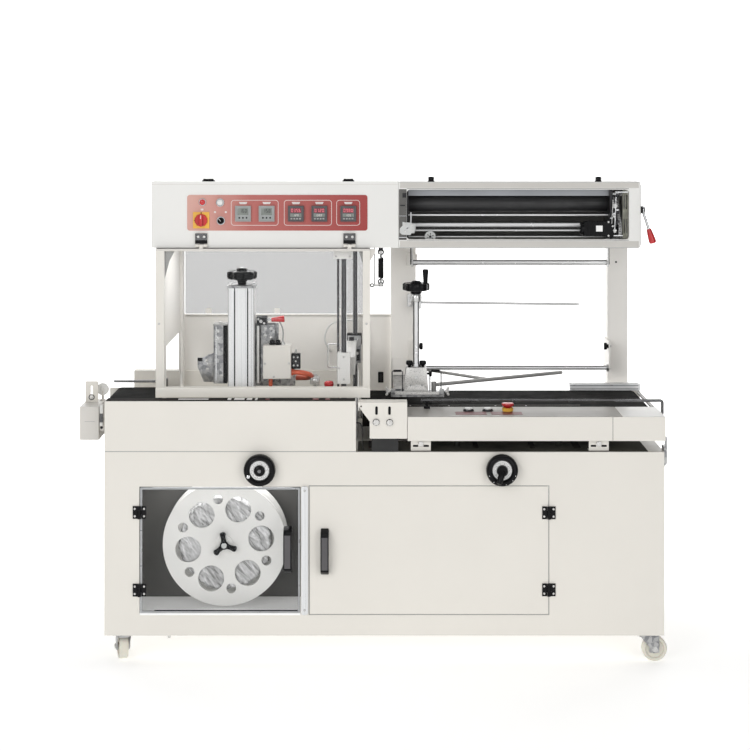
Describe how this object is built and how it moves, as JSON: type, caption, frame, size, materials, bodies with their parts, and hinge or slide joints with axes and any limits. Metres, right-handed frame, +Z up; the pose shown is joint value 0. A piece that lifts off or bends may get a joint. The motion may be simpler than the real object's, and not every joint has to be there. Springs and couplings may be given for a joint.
{
  "type": "side sealer",
  "caption": "Automatic side sealing machine: conveyor bed on a caster cabinet, acrylic sealing hood, control box and film feed head.",
  "frame": {"origin": "middle of the machine's footprint, on the floor under the casters", "axes": "+X towards the infeed end, +Y away from the operator, +Z up"},
  "size_m": [1.787, 0.7838, 1.462],
  "materials": {
    "cream_paint": "fine powder coat, satin",
    "dark_liner": "matt dark grey",
    "steel": "brushed",
    "zinc": "zinc plated",
    "chrome": "polished",
    "belt_rubber": "woven black belt",
    "roller_rubber": "ground black rubber",
    "black_plastic": "glossy",
    "black_iron": "glossy black enamel on cast iron",
    "red_plastic": "glossy",
    "white_plastic": "satin",
    "red_panel": "screen printed",
    "acrylic": "clear sheet",
    "cream_aluminium": "cream powder coat on folded aluminium",
    "acrylic_smoked": "lightly smoked sheet",
    "aluminium": "anodised",
    "reel_white": "matt off-white",
    "film": "crinkled clear film",
    "nylon": "cast nylon",
    "hose_orange": "polyurethane tube"
  },
  "bodies": {
    "frame": {"cabinet_shell": "cream_paint", "reel_bay_liner": "dark_liner", "side_covers": "cream_paint", "front_brackets": "cream_paint", "lift_posts": "chrome", "hinge_bases": "black_plastic", "control_box": "cream_paint", "control_fascia": "red_panel", "panel_fittings": "black_plastic", "film_box": "cream_paint", "roller_frame": "zinc", "film_rods": "steel", "former_base": "steel", "seal_column": "aluminium", "cross_seal_guides": "steel", "head_posts": "cream_paint", "rear_pane": "acrylic_smoked", "drives_and_caster_plates": "zinc"},
    "window_door": {"window_pane": "acrylic", "window_fittings": "black_plastic"},
    "side_door": {"panel_door": "cream_paint", "panel_door_fittings": "black_plastic"},
    "hood": {"hood_frame": "cream_paint", "hood_window": "acrylic"},
    "reel": {"waste_reel": "reel_white", "waste_film": "film"},
    "infeed_wheel": {"infeed_handwheel": "black_iron"},
    "outfeed_wheel": {"outfeed_handwheel": "black_iron"},
    "infeed_conveyor": {"infeed_frame": "cream_aluminium", "infeed_belt": "belt_rubber", "infeed_guides": "steel"},
    "infeed_roller": {"infeed_drive_roller": "steel"},
    "outfeed_conveyor": {"outfeed_frame": "cream_aluminium", "outfeed_belt": "belt_rubber"},
    "outfeed_roller": {"outfeed_drive_roller": "steel"},
    "start_key": {"start_button": "white_plastic"},
    "stop_key": {"stop_button": "white_plastic"},
    "emergency_key": {"emergency_stop": "red_plastic"},
    "seal_carriage": {"seal_unit": "aluminium", "air_hose": "hose_orange"},
    "seal_wheel": {"seal_handwheel": "black_iron"},
    "toggle": {"toggle_lever": "red_plastic"},
    "former_slide": {"former_block": "aluminium"},
    "crank_wheel": {"former_crank": "black_plastic"},
    "nip_clamp": {"nip_lever": "red_plastic"},
    "drive_roll": {"rubber_roller": "roller_rubber"},
    "nip_roll": {"pressure_roller": "chrome"},
    "film_roll": {"path_roller": "steel"},
    "jaw": {"cross_seal_jaw": "aluminium"},
    "main_switch": {"main_switch_knob": "red_plastic"},
    "selector": {"selector_knob": "black_plastic"},
    "panel_key": {"panel_button": "white_plastic"},
    "caster_front_left": {"fork_front_left": "zinc"},
    "roll_front_left": {"wheel_front_left": "nylon"},
    "caster_front_right": {"fork_front_right": "zinc"},
    "roll_front_right": {"wheel_front_right": "nylon"},
    "caster_rear_left": {"fork_rear_left": "zinc"},
    "roll_rear_left": {"wheel_rear_left": "nylon"},
    "caster_rear_right": {"fork_rear_right": "zinc"},
    "roll_rear_right": {"wheel_rear_right": "nylon"}
  },
  "joints": [
    {"name": "window_door_hinge", "type": "hinge", "parent": "frame", "child": "window_door", "pos_m": [-0.704, -0.32556, 0.35], "axis": [0, 0, -1], "range_deg": [0, 110]},
    {"name": "side_door_hinge", "type": "hinge", "parent": "frame", "child": "side_door", "pos_m": [0.524, -0.32556, 0.35], "axis": [0, 0, 1], "range_deg": [0, 110]},
    {"name": "hood_hinge", "type": "hinge", "parent": "frame", "child": "hood", "pos_m": [-0.3375, -0.22956, 1.251], "axis": [-1, 0, 0], "range_deg": [0, 100]},
    {"name": "reel_spin", "type": "hinge", "parent": "frame", "child": "reel", "pos_m": [-0.4535, -0.22056, 0.349], "axis": [0, 1, 0], "continuous": true},
    {"name": "infeed_wheel_turn", "type": "hinge", "parent": "frame", "child": "infeed_wheel", "pos_m": [0.3825, -0.32056, 0.588], "axis": [0, -1, 0], "range_deg": [-1440, 1440]},
    {"name": "infeed_lift", "type": "slide", "parent": "frame", "child": "infeed_conveyor", "axis": [0, 0, 1], "range_m": [-0.02, 0.02]},
    {"name": "outfeed_wheel_turn", "type": "hinge", "parent": "frame", "child": "outfeed_wheel", "pos_m": [-0.3425, -0.32056, 0.588], "axis": [0, -1, 0], "range_deg": [-1440, 1440]},
    {"name": "outfeed_lift", "type": "slide", "parent": "frame", "child": "outfeed_conveyor", "axis": [0, 0, 1], "range_m": [-0.02, 0.02]},
    {"name": "infeed_roller_spin", "type": "hinge", "parent": "infeed_conveyor", "child": "infeed_roller", "pos_m": [0.84, 0.02944, 0.7205], "axis": [0, 1, 0], "continuous": true},
    {"name": "outfeed_roller_spin", "type": "hinge", "parent": "outfeed_conveyor", "child": "outfeed_roller", "pos_m": [-0.835, 0.06944, 0.7235], "axis": [0, 1, 0], "continuous": true},
    {"name": "start_button_press", "type": "slide", "parent": "infeed_conveyor", "child": "start_key", "axis": [0, 0, -1], "range_m": [0, 0.003], "stiffness_N_per_m": 300},
    {"name": "stop_button_press", "type": "slide", "parent": "infeed_conveyor", "child": "stop_key", "axis": [0, 0, -1], "range_m": [0, 0.003], "stiffness_N_per_m": 300},
    {"name": "emergency_stop_press", "type": "slide", "parent": "infeed_conveyor", "child": "emergency_key", "axis": [0, 0, -1], "range_m": [0, 0.004], "stiffness_N_per_m": 500},
    {"name": "seal_wheel_turn", "type": "hinge", "parent": "frame", "child": "seal_wheel", "pos_m": [-0.4085, -0.15856, 1.15], "axis": [0, 0, 1], "range_deg": [-720, 2160]},
    {"name": "seal_lift", "type": "slide", "parent": "frame", "child": "seal_carriage", "axis": [0, 0, 1], "range_m": [-0.01, 0.03]},
    {"name": "toggle_turn", "type": "hinge", "parent": "seal_carriage", "child": "toggle", "pos_m": [-0.3425, -0.14456, 1.015], "axis": [0, -1, 0], "range_deg": [0, 85]},
    {"name": "crank_turn", "type": "hinge", "parent": "frame", "child": "crank_wheel", "pos_m": [0.1315, -0.08056, 1.11], "axis": [0, 0, 1], "range_deg": [0, 4320]},
    {"name": "former_lift", "type": "slide", "parent": "frame", "child": "former_slide", "axis": [0, 0, 1], "range_m": [0, 0.06]},
    {"name": "nip_lever_turn", "type": "hinge", "parent": "frame", "child": "nip_clamp", "pos_m": [0.8225, -0.17056, 1.358], "axis": [-1, 0, 0], "range_deg": [0, 100]},
    {"name": "rubber_roller_spin", "type": "hinge", "parent": "frame", "child": "drive_roll", "pos_m": [0.4025, -0.12056, 1.375], "axis": [1, 0, 0], "continuous": true},
    {"name": "pressure_roller_spin", "type": "hinge", "parent": "frame", "child": "nip_roll", "pos_m": [0.4025, -0.12056, 1.4183], "axis": [1, 0, 0], "continuous": true},
    {"name": "path_roller_spin", "type": "hinge", "parent": "frame", "child": "film_roll", "pos_m": [0.4025, 0.19944, 1.166], "axis": [1, 0, 0], "continuous": true},
    {"name": "jaw_slide", "type": "slide", "parent": "frame", "child": "jaw", "axis": [0, 0, 1], "range_m": [-0.08, 0.01]},
    {"name": "main_switch_turn", "type": "hinge", "parent": "frame", "child": "main_switch", "pos_m": [-0.5285, -0.23056, 1.329], "axis": [0, 1, 0], "range_deg": [0, 90]},
    {"name": "selector_turn", "type": "hinge", "parent": "frame", "child": "selector", "pos_m": [-0.4685, -0.23056, 1.3275], "axis": [0, 1, 0], "range_deg": [0, 90]},
    {"name": "panel_button_press", "type": "slide", "parent": "frame", "child": "panel_key", "axis": [0, 1, 0], "range_m": [0, 0.003], "stiffness_N_per_m": 300},
    {"name": "swivel_front_left", "type": "hinge", "parent": "frame", "child": "caster_front_left", "pos_m": [-0.7585, -0.27056, 0.08], "axis": [0, 0, 1], "continuous": true},
    {"name": "roll_front_left", "type": "hinge", "parent": "caster_front_left", "child": "roll_front_left", "pos_m": [-0.76471, -0.24738, 0.0375], "axis": [-0.9659, -0.2588, 0], "continuous": true},
    {"name": "swivel_front_right", "type": "hinge", "parent": "frame", "child": "caster_front_right", "pos_m": [0.8235, -0.27056, 0.08], "axis": [0, 0, 1], "continuous": true},
    {"name": "roll_front_right", "type": "hinge", "parent": "caster_front_right", "child": "roll_front_right", "pos_m": [0.8475, -0.27056, 0.0375], "axis": [0, 1, 0], "continuous": true},
    {"name": "swivel_rear_left", "type": "hinge", "parent": "frame", "child": "caster_rear_left", "pos_m": [-0.7585, 0.32944, 0.08], "axis": [0, 0, 1], "continuous": true},
    {"name": "roll_rear_left", "type": "hinge", "parent": "caster_rear_left", "child": "roll_rear_left", "pos_m": [-0.75433, 0.35307, 0.0375], "axis": [-0.9848, 0.1736, 0], "continuous": true},
    {"name": "swivel_rear_right", "type": "hinge", "parent": "frame", "child": "caster_rear_right", "pos_m": [0.8235, 0.32944, 0.08], "axis": [0, 0, 1], "continuous": true},
    {"name": "roll_rear_right", "type": "hinge", "parent": "caster_rear_right", "child": "roll_rear_right", "pos_m": [0.84605, 0.33765, 0.0375], "axis": [-0.342, 0.9397, 0], "continuous": true}
  ],
  "couplings": [
    {"joint": "infeed_lift", "follows": "infeed_wheel_turn", "m_per_rad": 0.000795},
    {"joint": "outfeed_lift", "follows": "outfeed_wheel_turn", "m_per_rad": 0.000795},
    {"joint": "seal_lift", "follows": "seal_wheel_turn", "m_per_rad": 0.000795},
    {"joint": "former_lift", "follows": "crank_turn", "m_per_rad": 0.000795},
    {"joint": "pressure_roller_spin", "follows": "rubber_roller_spin", "ratio": -1.3889},
    {"joint": "path_roller_spin", "follows": "rubber_roller_spin", "ratio": 3.0488}
  ]
}
